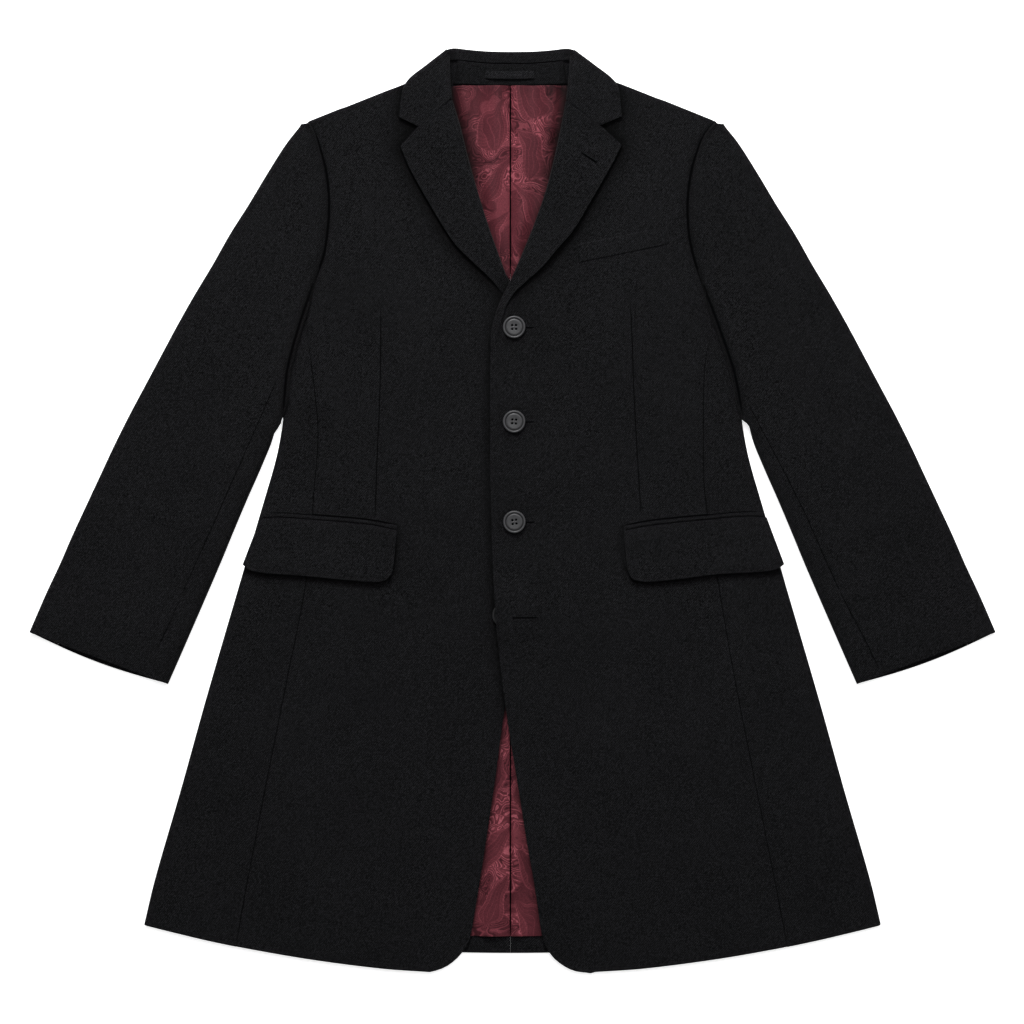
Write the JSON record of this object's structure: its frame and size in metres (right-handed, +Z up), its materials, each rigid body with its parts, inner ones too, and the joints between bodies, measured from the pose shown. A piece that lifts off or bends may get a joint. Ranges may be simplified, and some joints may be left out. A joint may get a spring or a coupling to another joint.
{
  "type": "sport coat",
  "caption": "Long single-breasted wool coat laid flat on its back, with notched lapels, flap pockets, fastened front and patterned satin lining.",
  "frame": {"origin": "on the surface that the coat lies on, under the middle of its outline", "axes": "+Y towards the collar, +X towards the wearer's left sleeve, +Z up, out of the front of the coat"},
  "size_m": [1.0808, 1.0313, 0.0148],
  "materials": {
    "wool": "black wool melton with a fine short nap",
    "lining": "burgundy jacquard satin with a paisley pattern",
    "button": "dark grey resin, satin, with a groove inside the rim"
  },
  "bodies": {
    "root": {"back_right": "wool", "back_left": "wool", "side_panel_right": "wool", "side_panel_left": "wool", "front_right": "wool", "front_left": "wool", "lapel_right": "wool", "lapel_left": "wool", "collar": "wool", "collar_stand": "wool", "hanger_loop": "wool", "top_sleeve_right": "wool", "under_sleeve_right": "wool", "top_sleeve_left": "wool", "under_sleeve_left": "wool", "jetting_right": "wool", "flap_right": "wool", "jetting_left": "wool", "flap_left": "wool", "breast_welt": "wool", "back_lining_right": "lining", "back_lining_left": "lining", "button_1": "button", "button_2": "button", "button_3": "button", "button_4": "button"}
  },
  "joints": []
}
